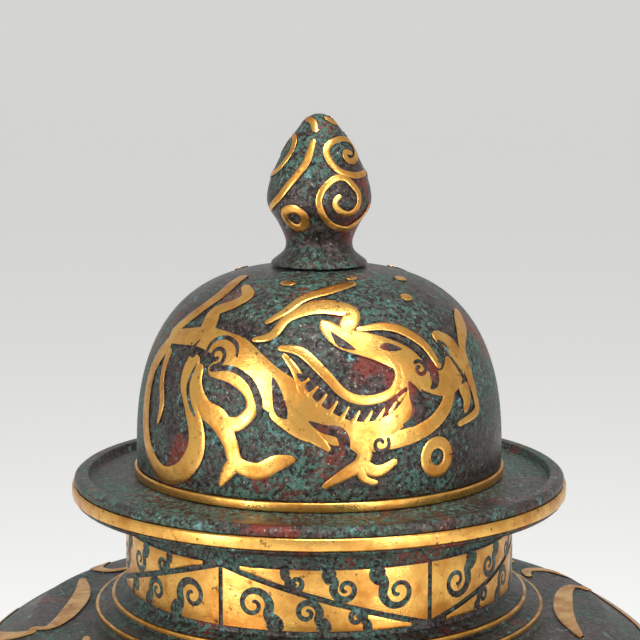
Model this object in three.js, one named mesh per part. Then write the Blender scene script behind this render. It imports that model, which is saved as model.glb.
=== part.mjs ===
// Bronze ginger jar with a domed lid, a bud knob and gold inlay.
// Millimetres, +Z up, origin at the centre of the foot's resting face. The front looks along -Y.
import * as THREE from 'three';

// Heights of the jar
const NECK_TOP = 208;
const MOUTH_WALL = 4;
const NECK_R = 46.9;
const SHOULDER_TOP = 180;
const SHOULDER_TOP_R = 55;
const BELLY_Z = 130;
const BELLY_R = 101.5;
const BODY_WALL = 4.5;
const FOOT_R = 63;
const FOOT_H = 10;
const FOOT_RECESS = 6;
const FOOT_RING_W = 7;

// Two step rings at the base of the neck
const STEP_UPPER_R = 50.2;
const STEP_UPPER_Z = 185.2;
const STEP_LOWER_R = 54.2;
const STEP_LOWER_Z = 182.4;
const STEP_BAND_H = 1.2;

// Lid
const SEAT_GAP = 0.3;
const BRIM_R = 59.4;
const BRIM_H = 6.7;
const LIP_W = 3.4;
const LIP_H = 1.9;
const FLANGE_DEPTH = 12;
const FLANGE_WALL = 2.6;
const FLANGE_CLEARANCE = 0.6;
const DOME_R = 44.3;
const DOME_H = 44.05;
const DOME_FOOT_H = 3.5;
const DOME_WALL = 3.4;
const CROWN_R = 11.9;

// Knob
const KNOB_H = 36;
const KNOB_R = 12.5;
const KNOB_NECK_R = 8;
const TENON_R = 4;
const TENON_CLEARANCE = 0.3;
const WASHER_R = 8;
const WASHER_H = 1.3;
const PEEN_R = 6;
const PEEN_H = 2;

// Gold inlay
const BAND_PROUD = 0.6;
const BAND_DEPTH = 0.8;
const INLAY_GAP = 0.3;
const BRIM_BAND_H = 3;
const DOME_BAND_H = 2.3;
const FOOT_BAND_H = 3;
const PLATE_LIFT = 0.3;
const PLATE_T = 0.5;

// Volute band round the neck
const VOLUTE_H = 14;
const VOLUTE_TOP = 202;
const PANELS = 6;
const FIRST_NODE_DEG = -28;
const CHANNEL = 1.7;
const DIVIDER = 1.1;

const ROUND = 40;
const KNOB_ROUND = 20;

const LIP_TOP = NECK_TOP + SEAT_GAP + BRIM_H;
const BRIM_FLOOR = LIP_TOP - LIP_H;
const DOME_FOOT = BRIM_FLOOR + LIP_H + 2.1;
const DOME_SPRING = DOME_FOOT + DOME_FOOT_H;
const CROWN_Z = DOME_SPRING + DOME_H;
const MOUTH_R = NECK_R - MOUTH_WALL;

const bronze = new THREE.MeshStandardMaterial({ color: 0x4a3a30, roughness: 0.6, metalness: 0.7 });
const gold = new THREE.MeshStandardMaterial({ color: 0xd8a548, roughness: 0.35, metalness: 1 });

const jar = new THREE.Group();

function addMesh(name, geometry, material) {
  const mesh = new THREE.Mesh(geometry, material);
  mesh.name = name;
  jar.add(mesh);
  return mesh;
}

// A profile of [radius, height] points turned round the jar's axis. A ring repeats its first point.
function turn(profile, segments = ROUND) {
  const points = profile.map(([r, z]) => new THREE.Vector2(r, z));
  return new THREE.LatheGeometry(points, segments).rotateX(Math.PI / 2);
}

function ring(profile, segments = ROUND) {
  return turn([...profile, profile[0]], segments);
}

// Points on a smooth curve through the given points, both ends included
function smooth(points, count) {
  const curve = new THREE.SplineCurve(points.map(([x, y]) => new THREE.Vector2(x, y)));
  return curve.getPoints(count).map((p) => [p.x, p.y]);
}

// A quarter of a full, square-shouldered dome, from its spring line up to the crown's flat
function domeArc(radius, springZ, height, endRadius, count) {
  const sideFullness = 3.08;
  const crownFullness = 2.36;
  const lastAngle = Math.acos((endRadius / radius) ** (sideFullness / 2));
  const points = [];
  for (let i = 0; i <= count; i += 1) {
    const angle = (lastAngle * i) / count;
    points.push([
      radius * Math.cos(angle) ** (2 / sideFullness),
      springZ + height * Math.sin(angle) ** (2 / crownFullness),
    ]);
  }
  return points;
}

// Jar body: foot ring, belly, shoulder, two step rings and neck, hollow to the mouth
const bellyBelow = smooth([
  [FOOT_R - 3.5, FOOT_H + 3],
  [FOOT_R + 5, FOOT_H + 24],
  [BELLY_R - 17, BELLY_Z - 55],
  [BELLY_R - 4, BELLY_Z - 24],
  [BELLY_R, BELLY_Z],
], 6);
const bellyAbove = smooth([
  [BELLY_R, BELLY_Z],
  [BELLY_R - 3.5, BELLY_Z + 22],
  [BELLY_R - 17.5, SHOULDER_TOP - 10.3],
  [BELLY_R - 28.7, SHOULDER_TOP - 2.5],
  [SHOULDER_TOP_R + 13.3, SHOULDER_TOP - 0.6],
  [SHOULDER_TOP_R, SHOULDER_TOP],
], 11);

function grooved(radius, bottom, top) {
  const floor = radius - BAND_DEPTH;
  return [
    [radius, bottom - INLAY_GAP],
    [floor, bottom - INLAY_GAP],
    [floor, top + INLAY_GAP],
    [radius, top + INLAY_GAP],
  ];
}

function bandRing(radius, bottom, top) {
  const inner = radius - BAND_DEPTH + INLAY_GAP;
  const outer = radius + BAND_PROUD;
  return ring([[inner, bottom], [outer, bottom], [outer, top], [inner, top]]);
}

const footBandZ = FOOT_H / 2 - FOOT_BAND_H / 2;
const innerFoot = FOOT_R - FOOT_RING_W;
const outerBody = [
  [FOOT_R, 0],
  ...grooved(FOOT_R, footBandZ, footBandZ + FOOT_BAND_H),
  [FOOT_R, FOOT_H],
  ...bellyBelow,
  ...bellyAbove.slice(1, -1),
  [SHOULDER_TOP_R, SHOULDER_TOP],
  ...grooved(STEP_LOWER_R, STEP_LOWER_Z - STEP_BAND_H, STEP_LOWER_Z).slice(0, 4),
  [STEP_UPPER_R, STEP_LOWER_Z + 1],
  ...grooved(STEP_UPPER_R, STEP_UPPER_Z - STEP_BAND_H, STEP_UPPER_Z).slice(0, 4),
  [NECK_R, STEP_UPPER_Z + 1.4],
  [NECK_R, NECK_TOP],
];
const innerBody = [
  [MOUTH_R, NECK_TOP],
  [MOUTH_R, STEP_UPPER_Z],
  [MOUTH_R + 6, SHOULDER_TOP - BODY_WALL - 1],
  ...bellyAbove.slice(3, 8).reverse().map(([r, z]) => [r - BODY_WALL, z - BODY_WALL]),
  [BELLY_R - BODY_WALL, BELLY_Z],
  ...bellyBelow.slice(1, 6).reverse().map(([r, z]) => [r - BODY_WALL, z]),
  [FOOT_R - 12, FOOT_RECESS + BODY_WALL + 2],
  [0, FOOT_RECESS + BODY_WALL],
];
addMesh('jar_body', turn([[0, FOOT_RECESS], [innerFoot - 2, FOOT_RECESS], [innerFoot, 0], ...outerBody,
  ...innerBody]), bronze);
addMesh('foot_band', bandRing(FOOT_R, footBandZ, footBandZ + FOOT_BAND_H), gold);
addMesh('lower_step_band', bandRing(STEP_LOWER_R, STEP_LOWER_Z - STEP_BAND_H, STEP_LOWER_Z), gold);
addMesh('upper_step_band', bandRing(STEP_UPPER_R, STEP_UPPER_Z - STEP_BAND_H, STEP_UPPER_Z), gold);

// Lid: flange in the mouth, brim with a raised lip, and a hollow dome
const flangeR = MOUTH_R - FLANGE_CLEARANCE;
const flangeInner = flangeR - FLANGE_WALL;
const brimUnder = NECK_TOP + SEAT_GAP;
const brimBandTop = LIP_TOP - 2.4;
const domeBandTop = DOME_FOOT - INLAY_GAP;
const lipR = BRIM_R - 1.1;
const domeOuter = domeArc(DOME_R, DOME_SPRING, DOME_H, CROWN_R, 9);
const innerR = DOME_R - DOME_WALL;
const boreR = TENON_R + TENON_CLEARANCE;
const domeInner = domeArc(innerR, DOME_SPRING, DOME_H - DOME_WALL, WASHER_R + 1, 6).reverse();
addMesh('lid', ring([
  [flangeInner, brimUnder - FLANGE_DEPTH],
  [flangeR, brimUnder - FLANGE_DEPTH],
  [flangeR, brimUnder],
  [BRIM_R - 0.8, brimUnder],
  [BRIM_R, brimUnder + 0.7],
  ...grooved(BRIM_R, brimBandTop - BRIM_BAND_H, brimBandTop),
  [BRIM_R, LIP_TOP - 0.9],
  [lipR, LIP_TOP],
  [lipR - LIP_W + 1.2, LIP_TOP],
  [lipR - LIP_W + 0.6, BRIM_FLOOR],
  [DOME_R + 1.5, domeBandTop - DOME_BAND_H - INLAY_GAP],
  [DOME_R - BAND_DEPTH, domeBandTop - DOME_BAND_H - INLAY_GAP],
  [DOME_R - BAND_DEPTH, DOME_FOOT],
  [DOME_R, DOME_FOOT],
  ...domeOuter,
  [boreR, CROWN_Z],
  [boreR, CROWN_Z - DOME_WALL],
  ...domeInner,
]), bronze);
addMesh('brim_edge_band', bandRing(BRIM_R, brimBandTop - BRIM_BAND_H, brimBandTop), gold);
addMesh('dome_base_band', bandRing(DOME_R, domeBandTop - DOME_BAND_H, domeBandTop), gold);

// Knob: a bud on a flared foot, with a tenon through the crown that is spread over a washer inside
const knobFoot = CROWN_Z + SEAT_GAP;
const washerTop = CROWN_Z - DOME_WALL - SEAT_GAP;
const peenTop = washerTop - WASHER_H - SEAT_GAP;
const knobOuter = [
  [CROWN_R - 0.2, knobFoot],
  [CROWN_R - 0.9, knobFoot + 1.2],
  [KNOB_NECK_R + 0.6, knobFoot + 3.2],
  [KNOB_NECK_R, knobFoot + 5],
  [KNOB_NECK_R + 0.4, knobFoot + 7],
  ...smooth([
    [KNOB_R - 2.4, knobFoot + 10.5],
    [KNOB_R - 0.5, knobFoot + 13.5],
    [KNOB_R, knobFoot + 16.5],
    [KNOB_R - 1.2, knobFoot + 21.5],
    [KNOB_R - 4.4, knobFoot + 28],
    [KNOB_R - 8.6, knobFoot + KNOB_H - 2],
  ], 8),
  [1.6, knobFoot + KNOB_H - 0.3],
  [0, knobFoot + KNOB_H],
];
addMesh('lid_knob', turn([
  [0, peenTop - PEEN_H],
  [PEEN_R, peenTop - PEEN_H],
  [PEEN_R, peenTop],
  [TENON_R, peenTop],
  [TENON_R, knobFoot],
  ...knobOuter,
], KNOB_ROUND), bronze);
addMesh('knob_washer', ring([
  [boreR, washerTop - WASHER_H],
  [WASHER_R, washerTop - WASHER_H],
  [WASHER_R, washerTop],
  [boreR, washerTop],
], KNOB_ROUND), bronze);

// Length along a profile, and the place and outward normal at a length along it
function surfaceOf(profile) {
  const lengths = [0];
  for (let i = 1; i < profile.length; i += 1) {
    const [r0, z0] = profile[i - 1];
    const [r1, z1] = profile[i];
    lengths.push(lengths[i - 1] + Math.hypot(r1 - r0, z1 - z0));
  }
  return (along) => {
    let i = 1;
    while (i < profile.length - 1 && lengths[i] < along) i += 1;
    const [r0, z0] = profile[i - 1];
    const [r1, z1] = profile[i];
    const step = lengths[i] - lengths[i - 1];
    const t = (along - lengths[i - 1]) / step;
    return { r: r0 + (r1 - r0) * t, z: z0 + (z1 - z0) * t, nr: (z1 - z0) / step, nz: (r0 - r1) / step };
  };
}

function pointOn(surface, [degrees, along], lift) {
  const at = surface(along);
  const angle = THREE.MathUtils.degToRad(degrees);
  const r = at.r + at.nr * lift;
  return [r * Math.sin(angle), -r * Math.cos(angle), at.z + at.nz * lift];
}

// A sheet between two edges, each a list of [degrees, length along the profile], lying on the surface
function plate(surface, left, right) {
  const positions = [];
  const index = [];
  left.forEach((edgePoint, i) => {
    [[edgePoint, PLATE_LIFT], [right[i], PLATE_LIFT], [right[i], PLATE_LIFT + PLATE_T],
      [edgePoint, PLATE_LIFT + PLATE_T]].forEach(([p, lift]) => positions.push(...pointOn(surface, p, lift)));
  });
  for (let i = 0; i < left.length - 1; i += 1) {
    for (let k = 0; k < 4; k += 1) {
      const a = i * 4 + k;
      const b = i * 4 + ((k + 1) % 4);
      index.push(a, b, b + 4, a, b + 4, a + 4);
    }
  }
  const last = (left.length - 1) * 4;
  index.push(0, 2, 1, 0, 3, 2, last, last + 1, last + 2, last, last + 2, last + 3);
  const geometry = new THREE.BufferGeometry();
  geometry.setAttribute('position', new THREE.Float32BufferAttribute(positions, 3));
  geometry.setIndex(index);
  geometry.computeVertexNormals();
  return geometry;
}

// A brush-like stroke: points of [degrees, length along the profile, width], on a smooth curve
function stroke(surface, points, turnedBy = 0, stepsPerPoint = 2) {
  const curve = new THREE.CatmullRomCurve3(points.map((p) => new THREE.Vector3(...p)));
  const places = curve.getPoints((points.length - 1) * stepsPerPoint);
  const left = [];
  const right = [];
  places.forEach((place, i) => {
    const before = places[Math.max(i - 1, 0)];
    const after = places[Math.min(i + 1, places.length - 1)];
    const perDegree = (surface(place.y).r * Math.PI) / 180;
    const acrossX = (after.x - before.x) * perDegree;
    const acrossY = after.y - before.y;
    const size = Math.hypot(acrossX, acrossY);
    const half = place.z / 2;
    const dx = (-acrossY / size) * (half / perDegree);
    const dy = (acrossX / size) * half;
    left.push([place.x + dx + turnedBy, place.y + dy]);
    right.push([place.x - dx + turnedBy, place.y - dy]);
  });
  return plate(surface, right, left);
}

// Volute plates: each panel of the neck holds two long triangles on either side of a slanting channel
const neckSurface = surfaceOf([[NECK_R, VOLUTE_TOP - VOLUTE_H], [NECK_R, VOLUTE_TOP]]);
const panelDeg = 360 / PANELS;
const dividerDeg = THREE.MathUtils.radToDeg(DIVIDER / 2 / NECK_R);
const TIP_H = 0.6;

function volutePlate(panel, isUpper) {
  const mirrored = panel % 2 === 1;
  const start = FIRST_NODE_DEG + panel * panelDeg;
  const tipShare = (CHANNEL / 2 + TIP_H) / VOLUTE_H;
  const low = [];
  const high = [];
  const steps = 8;
  for (let i = 0; i <= steps; i += 1) {
    const share = (i / steps) * (1 - tipShare);
    const height = VOLUTE_H * (1 - share) - CHANNEL / 2;
    const across = dividerDeg + share * (panelDeg - 2 * dividerDeg);
    const fromLeft = isUpper ? panelDeg - across : across;
    const angle = start + (mirrored ? panelDeg - fromLeft : fromLeft);
    low.push([angle, isUpper ? VOLUTE_H - height : 0]);
    high.push([angle, isUpper ? VOLUTE_H : height]);
  }
  const runsRight = high[1][0] > high[0][0];
  return runsRight ? plate(neckSurface, low, high) : plate(neckSurface, high, low);
}

for (let panel = 0; panel < PANELS; panel += 1) {
  addMesh(`neck_volute_${panel + 1}_lower`, volutePlate(panel, false), gold);
  addMesh(`neck_volute_${panel + 1}_upper`, volutePlate(panel, true), gold);
}

// A running dragon on the dome, of sheet-gold pieces, once in front and once behind
const domeSurface = surfaceOf([[DOME_R, DOME_FOOT], ...domeOuter]);
const dragonPieces = {
  tail: [[-63, 32, 2], [-69, 24.5, 2], [-67, 15, 2], [-63, 7, 2], [-55, 2.5, 2.2], [-46, 3.5, 2.4],
    [-41, 8, 2.4], [-41, 13, 2.4], [-45, 19, 2.2]],
  feather: [[-63, 36.5, 1.6], [-57, 42, 1.8], [-54, 48, 2], [-58, 53.5, 1.4]],
  branch: [[-45, 38, 2.6], [-46, 42, 2.4], [-40, 45.5, 2.2], [-37, 49, 1.8], [-42, 52, 1.2]],
  torso: [[-38, 31.5, 4], [-25, 29.5, 6.5], [-14, 24.5, 7], [-4, 20, 7], [6, 16.5, 6.5], [15, 16, 5],
    [22, 18, 3.4]],
  hind_leg: [[-37, 21, 2.6], [-31, 17.5, 4], [-26, 12.5, 3], [-24, 7.8, 2.6], [-18, 6, 2.2],
    [-12, 8.5, 1.6], [-6, 8.5, 1]],
  foreleg: [[9, 11.2, 2.4], [11, 8.6, 2.4], [7, 6, 1.8], [2, 3.6, 1]],
  chest: [[44, 21, 1.8], [41, 18, 2], [34, 14.5, 2.2], [25, 12.3, 2.2], [17, 11, 2]],
  neck: [[3, 39.5, 2], [10, 35.5, 3.4], [19, 33.6, 4], [29, 30, 4.4], [36, 25.4, 3.6], [44, 25, 3.4],
    [50.5, 28.5, 3], [51, 33, 2.4], [46, 35.5, 1.6]],
  horn: [[71, 39.5, 1], [66, 36, 2], [60, 32, 1.8], [57, 26, 1.8], [58, 20, 1.4], [56, 16, 1.2],
    [47, 14.6, 0.8]],
  upper_wing: [[-21, 41, 0.8], [-14, 44.6, 1.6], [-7, 49.2, 2], [6, 52.5, 2], [21, 55.6, 1]],
  lower_wing: [[-23, 36.4, 0.8], [-17, 37.8, 1.6], [-11, 42, 1.8], [0, 45.6, 2], [11, 44.4, 1.2]],
  side_band: [[-7, 33, 1], [0, 29.8, 1.2], [6, 24.6, 1.4], [14, 22.4, 1.6], [21, 23.4, 1.4],
    [24.5, 27.6, 1]],
};
const RING_AT = [37, 7.2];
const RING_MID_R = 3.3;
const RING_W = 2.4;

// The two edges of a flat ring split open by a hair, so that it stays one simple strip
function ringStroke([degrees, along], radius, width) {
  const perDegree = (domeSurface(along).r * Math.PI) / 180;
  const points = [];
  const openDeg = 12;
  for (let i = 0; i <= 14; i += 1) {
    const angle = THREE.MathUtils.degToRad(openDeg + (i / 14) * (360 - 2 * openDeg));
    points.push([degrees + (radius * Math.sin(angle)) / perDegree, along - radius * Math.cos(angle), width]);
  }
  return points;
}

[['front', 0], ['back', 180]].forEach(([side, turnedBy]) => {
  Object.entries(dragonPieces).forEach(([piece, points]) => {
    addMesh(`${side}_dragon_${piece}`, stroke(domeSurface, points, turnedBy), gold);
  });
  addMesh(`${side}_pearl_ring`, stroke(domeSurface, ringStroke(RING_AT, RING_MID_R, RING_W), turnedBy, 1), gold);
});

// A spiral on a surface, from its eye outwards, then a tail that leaves it
function spiral(surface, [degrees, along], innerR0, outerR, turns, startDeg, width) {
  const points = [];
  const steps = Math.round(turns * 8);
  for (let i = 0; i <= steps; i += 1) {
    const share = i / steps;
    const radius = innerR0 + (outerR - innerR0) * share;
    const angle = THREE.MathUtils.degToRad(startDeg + share * turns * 360);
    const perDegree = (surface(along).r * Math.PI) / 180;
    points.push([degrees + (radius * Math.cos(angle)) / perDegree, along + radius * Math.sin(angle), width]);
  }
  return points;
}

// Gold wire on the knob: two spirals and a sweeping band, front and back
const knobSurface = surfaceOf(knobOuter);
const WIRE_W = 1.2;
[['front', 0], ['back', 180]].forEach(([side, turnedBy]) => {
  const upper = spiral(knobSurface, [38, 31], 0.8, 3.6, 1.25, 200, WIRE_W);
  const lower = spiral(knobSurface, [34, 19.5], 0.8, 4.2, 1.25, 20, WIRE_W);
  const sweep = [[-60, 24, WIRE_W], [-40, 27, WIRE_W], [-22, 31, WIRE_W], [-14, 35, WIRE_W], [-30, 38.5, WIRE_W]];
  addMesh(`${side}_knob_upper_spiral`, stroke(knobSurface, upper, turnedBy, 1), gold);
  addMesh(`${side}_knob_lower_spiral`, stroke(knobSurface, lower, turnedBy, 1), gold);
  addMesh(`${side}_knob_sweep`, stroke(knobSurface, sweep, turnedBy, 2), gold);
});

// Cloud scrolls on the shoulder, each an S with a curl at both ends
const shoulderSurface = surfaceOf(bellyAbove);
const SCROLLS = 6;
const SCROLL_START = 20;
for (let i = 0; i < SCROLLS; i += 1) {
  const points = [[-17, 18, 1.6], [-21, 14, 2], [-22, 8, 2.6], [-16, 3, 3.6], [-8, 5, 5], [0, 10, 5.5],
    [8, 16, 5], [16, 19, 3.6], [23, 16, 2.6], [23, 9, 2], [18, 6, 1.6]];
  const placed = points.map(([degrees, along, width]) => [degrees, SCROLL_START + along, width]);
  addMesh(`shoulder_scroll_${i + 1}`, stroke(shoulderSurface, placed, 30 + (i * 360) / SCROLLS, 3), gold);
}

export default jar;
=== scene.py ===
# %% [markdown]
# The jar is cast in bronze, as a vessel, a lid and a knob, and dressed with gold beaten into shallow beds.
# Its solid model comes in as a fixed frame of named nodes. The pieces here could be shaded copies of those
# nodes, but their rounds are coarse. So every casting is turned again with a finer round, stands for its
# node, and carries the gold on its surface.

# %% Load the fixed frame
import math

import bpy
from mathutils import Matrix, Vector


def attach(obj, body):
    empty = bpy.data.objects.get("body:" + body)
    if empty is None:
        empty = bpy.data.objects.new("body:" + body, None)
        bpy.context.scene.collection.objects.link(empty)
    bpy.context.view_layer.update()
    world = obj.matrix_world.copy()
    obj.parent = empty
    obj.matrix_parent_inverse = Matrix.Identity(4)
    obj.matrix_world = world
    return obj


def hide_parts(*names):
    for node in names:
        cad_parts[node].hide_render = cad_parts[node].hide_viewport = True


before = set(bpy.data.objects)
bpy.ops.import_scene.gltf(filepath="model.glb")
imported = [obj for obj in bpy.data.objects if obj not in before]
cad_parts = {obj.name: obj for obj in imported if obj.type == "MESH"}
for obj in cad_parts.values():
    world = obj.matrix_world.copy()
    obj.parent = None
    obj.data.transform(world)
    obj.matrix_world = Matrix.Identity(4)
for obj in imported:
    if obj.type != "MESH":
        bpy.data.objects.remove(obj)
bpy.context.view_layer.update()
MM = 0.001
print("nodes in the frame:", len(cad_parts))

# %% [markdown]
# The photograph looks slightly down at the lid from less than half a metre away. A camera could be placed by
# eye, but the ellipses at the brim, the neck and the crown give its pitch and distance. A long lens and a
# pitch of under nine degrees make the same ellipses.

# %% Camera at the photograph's angle
CAMERA_SIDE = 0.2 * MM
CAMERA_BACK = 477.9 * MM
CAMERA_UP = 323.5 * MM
CAMERA_PITCH = math.radians(8.6)
LENS = 112.5
SENSOR_WIDTH = 36
bpy.ops.object.camera_add(location=(CAMERA_SIDE, -CAMERA_BACK, CAMERA_UP),
                          rotation=(math.pi / 2 - CAMERA_PITCH, 0, 0))
camera = bpy.context.object
camera.data.lens = LENS
camera.data.sensor_width = SENSOR_WIDTH
camera.data.clip_start = 10 * MM
bpy.context.scene.camera = camera
print("camera at", tuple(round(v, 3) for v in camera.location))

# %% [markdown]
# The jar stands in a pale studio. More lamps would make the background pale, but would bleach the bronze
# too. So the floor and the world are bright for the rays that see them, straight or by way of polished
# metal. For diffuse rays the floor's glow is off and the world is dim.

# %% Floor and world
FLOOR_SIZE = 300
FLOOR_COLOUR = (0.72, 0.72, 0.71, 1)
FLOOR_ROUGHNESS = 0.9
FLOOR_GLOW = 0.66
BACKDROP = (0.66, 0.66, 0.65, 1)
WORLD_LIGHT = 0.28
bpy.context.scene.view_settings.view_transform = "Standard"


def node(tree, kind, **values):
    """A shader node with its properties and inputs set by name."""
    made = tree.nodes.new(kind)
    for key, value in values.items():
        if key in made.inputs:
            made.inputs[key].default_value = value
        else:
            setattr(made, key, value)
    return made


def new_material(name):
    """A material with its node tree and its main shader."""
    material = bpy.data.materials.new(name)
    material.use_nodes = True
    tree = material.node_tree
    return material, tree, tree.nodes["Principled BSDF"]


bpy.ops.mesh.primitive_plane_add(size=FLOOR_SIZE)
floor = bpy.context.object
floor.name = "studio_floor"
floor_paint, floor_tree, floor_shader = new_material("studio_floor_paint")
floor_shader.inputs["Base Color"].default_value = FLOOR_COLOUR
floor_shader.inputs["Roughness"].default_value = FLOOR_ROUGHNESS
floor_shader.inputs["Emission Color"].default_value = FLOOR_COLOUR
floor_path = node(floor_tree, "ShaderNodeLightPath")
floor_glow = node(floor_tree, "ShaderNodeMath", operation="MULTIPLY_ADD")
floor_glow.inputs[1].default_value = -FLOOR_GLOW
floor_glow.inputs[2].default_value = FLOOR_GLOW
floor_tree.links.new(floor_path.outputs["Is Diffuse Ray"], floor_glow.inputs[0])
floor_tree.links.new(floor_glow.outputs[0], floor_shader.inputs["Emission Strength"])
floor.data.materials.append(floor_paint)

world = bpy.data.worlds.new("studio")
bpy.context.scene.world = world
world.use_nodes = True
world_tree = world.node_tree
background = world_tree.nodes["Background"]
world_path = node(world_tree, "ShaderNodeLightPath")
camera_or_gloss = node(world_tree, "ShaderNodeMath", operation="MAXIMUM")
seen = node(world_tree, "ShaderNodeMath", operation="MAXIMUM")
strength = node(world_tree, "ShaderNodeMapRange")
strength.inputs["To Min"].default_value = WORLD_LIGHT
strength.inputs["To Max"].default_value = 1
world_tree.links.new(world_path.outputs["Is Camera Ray"], camera_or_gloss.inputs[0])
world_tree.links.new(world_path.outputs["Is Glossy Ray"], camera_or_gloss.inputs[1])
world_tree.links.new(camera_or_gloss.outputs[0], seen.inputs[0])
world_tree.links.new(world_path.outputs["Is Transmission Ray"], seen.inputs[1])
world_tree.links.new(seen.outputs[0], strength.inputs["Value"])
world_tree.links.new(strength.outputs["Result"], background.inputs["Strength"])
background.inputs["Color"].default_value = BACKDROP
print("floor is", FLOOR_SIZE, "m wide")

# %% [markdown]
# The gold shows what stands round it. Point lamps would leave small hot dots on it, and a plain bright world
# would leave it flat. Two tall softboxes and a third overhead leave long soft shapes with dark between them.

# %% Softboxes
AIM = Vector((0, 0, 0.22))


def softbox(name, place, size, watts):
    """A tall area lamp that looks at the lid."""
    bpy.ops.object.light_add(type="AREA", location=place)
    lamp = bpy.context.object
    lamp.name = name
    lamp.data.shape = "RECTANGLE"
    lamp.data.size = size[0]
    lamp.data.size_y = size[1]
    lamp.data.energy = watts
    aim = AIM - lamp.location
    lamp.rotation_euler = aim.to_track_quat("-Z", "Y").to_euler()
    return lamp


softbox("left_softbox", (-0.62, -0.62, 0.42), (0.22, 0.6), 7)
softbox("right_softbox", (0.52, -0.72, 0.45), (0.16, 0.6), 6)
softbox("top_softbox", (0.1, -0.25, 0.95), (0.35, 0.3), 6)

# %% [markdown]
# Old bronze is a patchwork: a brown-black skin, a little browner where it is rubbed, red copper oxide,
# green and blue crusts, pale specks and black pits. It could be painted by hand, but a mask of noise for
# each colour, laid over the one before, gives crumbly edges everywhere. The masks read Object coordinates,
# so the pattern stays on the metal when the lid moves.

# %% Bronze patina
DARK_SKIN = (0.013, 0.009, 0.008)
RUBBED = (0.06, 0.042, 0.038)
CUPRITE = (0.13, 0.02, 0.012)
GREEN_CRUST = (0.06, 0.13, 0.1)
BLUE_CRUST = (0.11, 0.24, 0.24)
PALE_CRUST = (0.28, 0.3, 0.25)
PIT_BLACK = (0.008, 0.007, 0.007)
BRONZE_METALLIC = 0.5
BRONZE_SPECULAR = 0.3
BARE_ROUGHNESS, CRUST_ROUGHNESS = 0.34, 0.72
GREEN_SHIFT, RED_SHIFT = 0.16, 0.12
MIX_UNDER, MIX_OVER, MIX_RESULT = 6, 7, 2


def noise_mask(tree, coordinates, scale, low, high, detail=9, offset=0.0):
    """A patchy mask from 0 to 1: noise, then a ramp between two levels."""
    place = node(tree, "ShaderNodeMapping")
    place.inputs["Location"].default_value = (offset, offset * 0.7, offset * 1.3)
    noise = node(tree, "ShaderNodeTexNoise", Scale=scale, Detail=detail, Roughness=0.62)
    level = node(tree, "ShaderNodeMapRange")
    level.inputs["From Min"].default_value = low
    level.inputs["From Max"].default_value = high
    tree.links.new(coordinates, place.inputs["Vector"])
    tree.links.new(place.outputs[0], noise.inputs["Vector"])
    tree.links.new(noise.outputs["Fac"], level.inputs["Value"])
    return level.outputs["Result"]


def layer(tree, under, colour, mask):
    """Lays one colour over another where the mask is bright."""
    mix = node(tree, "ShaderNodeMix", data_type="RGBA")
    mix.inputs[MIX_OVER].default_value = (*colour, 1)
    tree.links.new(mask, mix.inputs[0])
    if isinstance(under, tuple):
        mix.inputs[MIX_UNDER].default_value = (*under, 1)
    else:
        tree.links.new(under, mix.inputs[MIX_UNDER])
    return mix.outputs[MIX_RESULT]


def roughness_from(tree, mask, shader, low, high):
    """Runs the shader's roughness from low to high as the mask brightens."""
    rough = node(tree, "ShaderNodeMapRange")
    rough.inputs["To Min"].default_value = low
    rough.inputs["To Max"].default_value = high
    tree.links.new(mask, rough.inputs["Value"])
    tree.links.new(rough.outputs["Result"], shader.inputs["Roughness"])


def relief(tree, height, shader, strength, depth):
    """Raises the shader's surface by a height, with bump."""
    bump = node(tree, "ShaderNodeBump", Strength=strength, Distance=depth)
    tree.links.new(height, bump.inputs["Height"])
    tree.links.new(bump.outputs[0], shader.inputs["Normal"])


def patina(name, green, red):
    """Corroded bronze. green and red raise or lower how much of each crust shows."""
    material, tree, shader = new_material(name)
    coordinates = node(tree, "ShaderNodeTexCoord").outputs["Object"]
    less_green = GREEN_SHIFT * green
    less_red = RED_SHIFT * red
    rubbed = noise_mask(tree, coordinates, 760, 0.42, 0.6)
    broad = noise_mask(tree, coordinates, 46, 0.55 - less_green, 0.66 - less_green, offset=3)
    fine_green = noise_mask(tree, coordinates, 900, 0.46, 0.58, offset=5)
    blue = noise_mask(tree, coordinates, 330, 0.6, 0.7, offset=9)
    ruddy = noise_mask(tree, coordinates, 60, 0.64 - less_red, 0.72 - less_red, offset=14)
    pale = noise_mask(tree, coordinates, 1300, 0.61, 0.7, detail=8, offset=21)
    pits = noise_mask(tree, coordinates, 1200, 0.58, 0.64, detail=4, offset=27)
    crust = node(tree, "ShaderNodeMath", operation="MULTIPLY")
    tree.links.new(broad, crust.inputs[0])
    tree.links.new(fine_green, crust.inputs[1])
    colour = DARK_SKIN
    for paint, mask in ((RUBBED, rubbed), (CUPRITE, ruddy), (GREEN_CRUST, crust.outputs[0]),
                        (BLUE_CRUST, blue), (PALE_CRUST, pale), (PIT_BLACK, pits)):
        colour = layer(tree, colour, paint, mask)
    tree.links.new(colour, shader.inputs["Base Color"])
    roughness_from(tree, crust.outputs[0], shader, BARE_ROUGHNESS, CRUST_ROUGHNESS)
    shader.inputs["Metallic"].default_value = BRONZE_METALLIC
    shader.inputs["Specular IOR Level"].default_value = BRONZE_SPECULAR
    grain = node(tree, "ShaderNodeTexNoise", Scale=620, Detail=8, Roughness=0.7)
    tree.links.new(coordinates, grain.inputs["Vector"])
    height = node(tree, "ShaderNodeMath", operation="MULTIPLY_ADD")
    height.inputs[1].default_value = 0.5
    tree.links.new(crust.outputs[0], height.inputs[0])
    tree.links.new(grain.outputs["Fac"], height.inputs[2])
    sunk = node(tree, "ShaderNodeMath", operation="SUBTRACT")
    tree.links.new(height.outputs[0], sunk.inputs[0])
    tree.links.new(pits, sunk.inputs[1])
    relief(tree, sunk.outputs[0], shader, 0.55, 0.4 * MM)
    return material


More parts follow.
